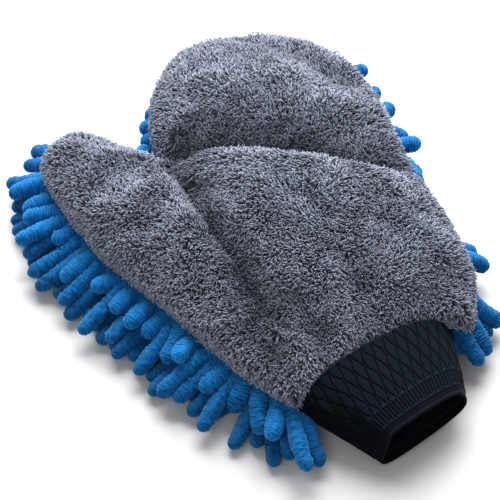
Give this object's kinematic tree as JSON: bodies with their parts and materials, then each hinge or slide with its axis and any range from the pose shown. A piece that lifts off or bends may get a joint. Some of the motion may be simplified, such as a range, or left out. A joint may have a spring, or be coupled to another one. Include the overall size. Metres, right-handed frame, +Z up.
{
  "type": "wash mitt",
  "caption": "Hand-shaped wash mitt with a thumb, a plush back, a palm of chenille fingers and a ribbed knit cuff.",
  "frame": {"origin": "on the surface the mitt lies on, under the middle of its outline", "axes": "+Z up, away from the surface; +Y from the cuff towards the fingertips; the thumb is on the -X side"},
  "size_m": [0.2374, 0.3116, 0.058],
  "materials": {
    "plush": "matte",
    "chenille": "matte",
    "chenille_cloth": "matte",
    "knit": "matte",
    "lining": "matte",
    "thread": "matte"
  },
  "bodies": {
    "hand": {"back_lining_hand": "lining", "back_panel_hand": "plush", "chenille_base_hand": "chenille_cloth", "chenille_row_hand_1": "chenille", "chenille_row_hand_2": "chenille", "chenille_row_hand_3": "chenille", "chenille_row_hand_4": "chenille", "chenille_row_hand_5": "chenille", "chenille_row_hand_6": "chenille", "chenille_row_hand_7": "chenille", "chenille_row_hand_8": "chenille", "chenille_row_hand_9": "chenille", "cuff_seam": "thread", "edge_seam_hand_left": "thread", "edge_seam_hand_right": "thread", "palm_lining_hand": "lining"},
    "fingers": {"back_lining_fingers": "lining", "back_panel_fingers": "plush", "chenille_base_fingers": "chenille_cloth", "chenille_row_fingers_1": "chenille", "chenille_row_fingers_2": "chenille", "chenille_row_fingers_3": "chenille", "chenille_row_fingers_4": "chenille", "chenille_row_fingers_5": "chenille", "chenille_row_fingers_6": "chenille", "chenille_row_fingers_7": "chenille", "edge_seam_fingers": "thread", "palm_lining_fingers": "lining"},
    "thumb": {"back_lining_thumb": "lining", "back_panel_thumb": "plush", "chenille_base_thumb": "chenille_cloth", "chenille_row_thumb_1": "chenille", "chenille_row_thumb_2": "chenille", "chenille_row_thumb_3": "chenille", "chenille_row_thumb_4": "chenille", "chenille_row_thumb_5": "chenille", "chenille_row_thumb_6": "chenille", "chenille_row_thumb_7": "chenille", "chenille_row_thumb_8": "chenille", "edge_seam_thumb": "thread", "palm_lining_thumb": "lining"},
    "cuff": {"cuff_inner": "knit", "cuff_outer": "knit"}
  },
  "joints": [
    {"name": "knuckle_fold", "type": "hinge", "parent": "hand", "child": "fingers", "pos_m": [0.0431, 0.04426, 0.0496], "axis": [0.9819, -0.1894, 0], "range_deg": [0, 60]},
    {"name": "thumb_fold", "type": "hinge", "parent": "hand", "child": "thumb", "pos_m": [-0.0269, 0.00876, 0.0496], "axis": [0, 1, 0], "range_deg": [0, 50]},
    {"name": "cuff_fold", "type": "hinge", "parent": "hand", "child": "cuff", "pos_m": [0.04446, -0.10241, 0.0426], "axis": [-0.9807, -0.1956, 0], "range_deg": [0, 75]}
  ]
}
